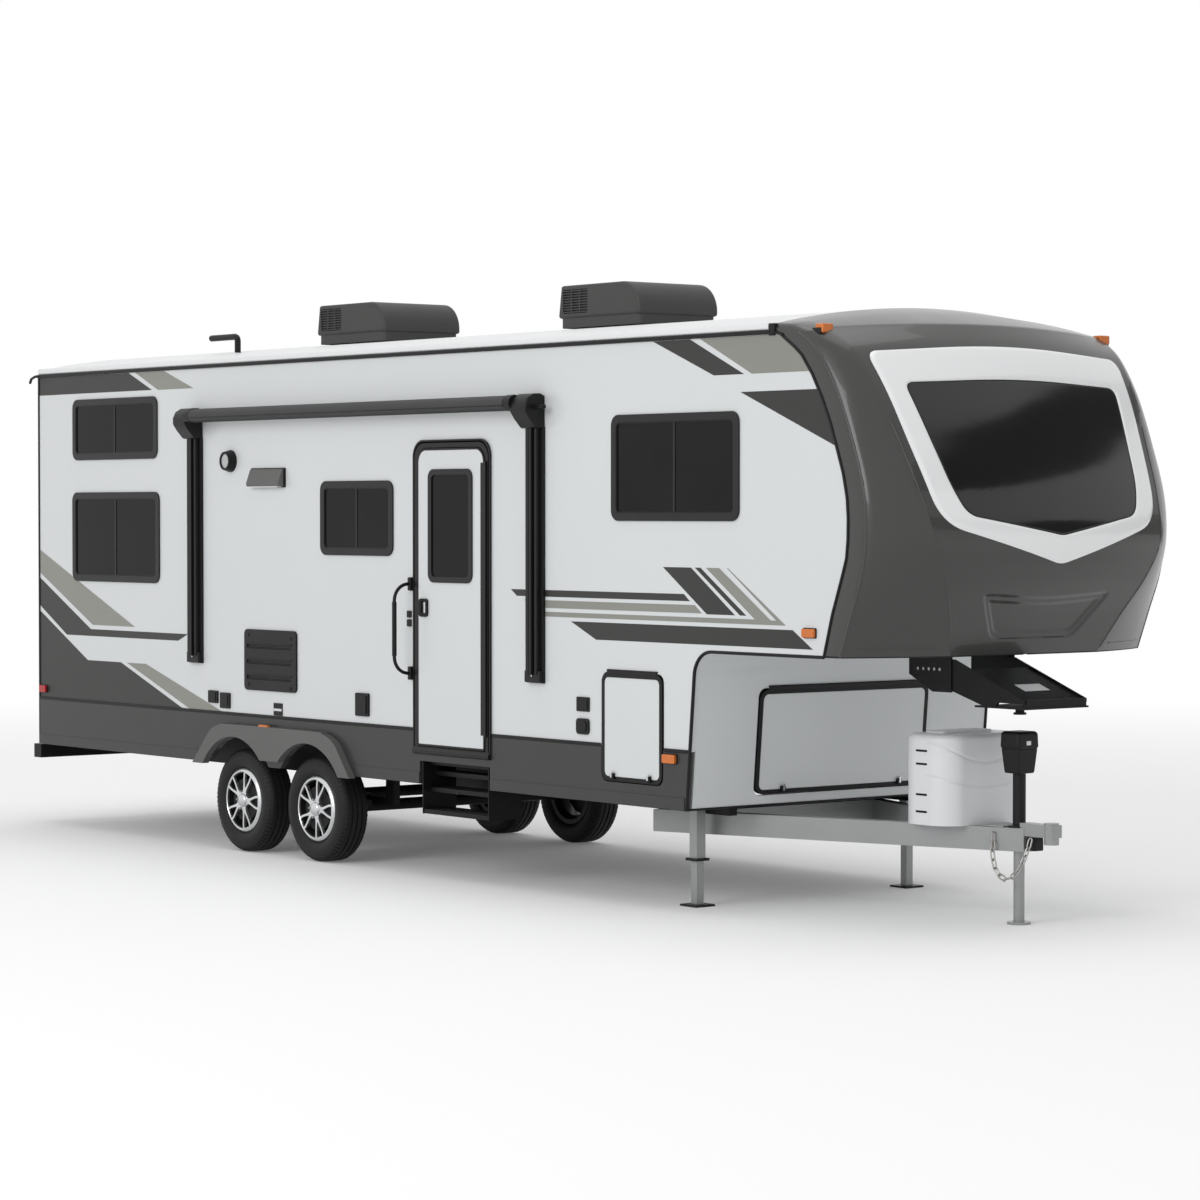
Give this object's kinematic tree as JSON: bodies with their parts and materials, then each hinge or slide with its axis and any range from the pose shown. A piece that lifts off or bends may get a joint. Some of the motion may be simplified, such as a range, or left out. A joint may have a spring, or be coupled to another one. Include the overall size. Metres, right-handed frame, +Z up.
{
  "type": "travel trailer",
  "caption": "Travel trailer with a raised moulded nose, hitch pin box, drawbar and jack; its wheels, entry door and storage doors move.",
  "frame": {"origin": "middle of the whole object's box, on the ground", "axes": "+X towards the hitch, -Y towards the entry door's side, +Z up"},
  "size_m": [9.4298, 2.5622, 3.7203],
  "materials": {
    "wall_white": "satin",
    "roof_white": "matt",
    "skirt_grey": "satin",
    "flare_grey": "matt",
    "cap_grey": "gloss",
    "gloss_white": "gloss",
    "dark_glass": "tinted",
    "trim_black": "satin",
    "frame_black": "satin",
    "tyre_rubber": "matt",
    "wheel_alloy": "satin",
    "steel_grey": "satin",
    "chain_steel": "satin",
    "cover_white": "satin",
    "ac_grey": "matt",
    "lamp_red": "gloss"
  },
  "bodies": {
    "trailer": {"side_wall_door": "wall_white", "side_wall_road": "wall_white", "rear_wall": "wall_white", "front_wall": "wall_white", "roof": "roof_white", "floor": "trim_black", "front_cap": "cap_grey", "cap_surround": "gloss_white", "cap_window": "dark_glass", "skirt_door": "skirt_grey", "skirt_road": "skirt_grey", "fender_door": "flare_grey", "fender_road": "flare_grey", "chassis": "frame_black", "a_frame": "steel_grey", "tongue_jack": "trim_black", "jack_leg": "steel_grey", "propane_cover": "cover_white", "safety_chain": "chain_steel", "pin_box": "frame_black", "landing_leg_door": "steel_grey", "landing_leg_road": "steel_grey", "axle_front": "frame_black", "axle_rear": "frame_black", "door_frame": "trim_black", "grab_handle": "trim_black", "steps": "frame_black", "awning_tube": "trim_black", "awning_arm_rear": "trim_black", "awning_arm_front": "trim_black", "ac_rear": "ac_grey", "ac_front": "ac_grey", "vent_pipe": "trim_black", "furnace_grille": "trim_black", "porch_light": "trim_black", "tail_lamp_door": "lamp_red", "tail_lamp_road": "lamp_red", "window_upper_rear_door": "dark_glass", "window_upper_rear_road": "dark_glass", "window_lower_rear_door": "dark_glass", "window_lower_rear_road": "dark_glass", "window_middle_door": "dark_glass", "window_middle_road": "dark_glass", "window_front_door": "dark_glass", "window_front_road": "dark_glass"},
    "road_wheel_rear_door": {"wheel_rear_door": "wheel_alloy", "tyre_rear_door": "tyre_rubber"},
    "road_wheel_rear_road": {"wheel_rear_road": "wheel_alloy", "tyre_rear_road": "tyre_rubber"},
    "road_wheel_front_door": {"wheel_front_door": "wheel_alloy", "tyre_front_door": "tyre_rubber"},
    "road_wheel_front_road": {"wheel_front_road": "wheel_alloy", "tyre_front_road": "tyre_rubber"},
    "door": {"entry_door": "wall_white", "door_window": "dark_glass", "door_latch": "trim_black"},
    "hatch_side": {"storage_door_side": "wall_white"},
    "hatch_road": {"storage_door_road": "wall_white"},
    "hatch_front": {"storage_door_front": "wall_white"}
  },
  "joints": [
    {"name": "wheel_spin_rear_door", "type": "hinge", "parent": "trailer", "child": "road_wheel_rear_door", "pos_m": [-1.82495, -0.99265, 0.348], "axis": [0, 1, 0], "continuous": true},
    {"name": "wheel_spin_rear_road", "type": "hinge", "parent": "trailer", "child": "road_wheel_rear_road", "pos_m": [-1.82495, 1.10235, 0.348], "axis": [0, 1, 0], "continuous": true},
    {"name": "wheel_spin_front_door", "type": "hinge", "parent": "trailer", "child": "road_wheel_front_door", "pos_m": [-0.94495, -0.99265, 0.348], "axis": [0, 1, 0], "continuous": true},
    {"name": "wheel_spin_front_road", "type": "hinge", "parent": "trailer", "child": "road_wheel_front_road", "pos_m": [-0.94495, 1.10235, 0.348], "axis": [0, 1, 0], "continuous": true},
    {"name": "entry_door_hinge", "type": "hinge", "parent": "trailer", "child": "door", "pos_m": [0.99205, -1.13745, 1.7585], "axis": [0, 0, 1], "range_deg": [0, 160]},
    {"name": "storage_door_side_hinge", "type": "hinge", "parent": "trailer", "child": "hatch_side", "pos_m": [2.39755, -1.12145, 1.37], "axis": [-1, 0, 0], "range_deg": [0, 160]},
    {"name": "storage_door_road_hinge", "type": "hinge", "parent": "trailer", "child": "hatch_road", "pos_m": [2.39755, 1.23115, 1.37], "axis": [1, 0, 0], "range_deg": [0, 160]},
    {"name": "storage_door_front_hinge", "type": "hinge", "parent": "trailer", "child": "hatch_front", "pos_m": [2.94737, 0.05485, 1.286], "axis": [0, -1, 0], "range_deg": [0, 100]}
  ]
}
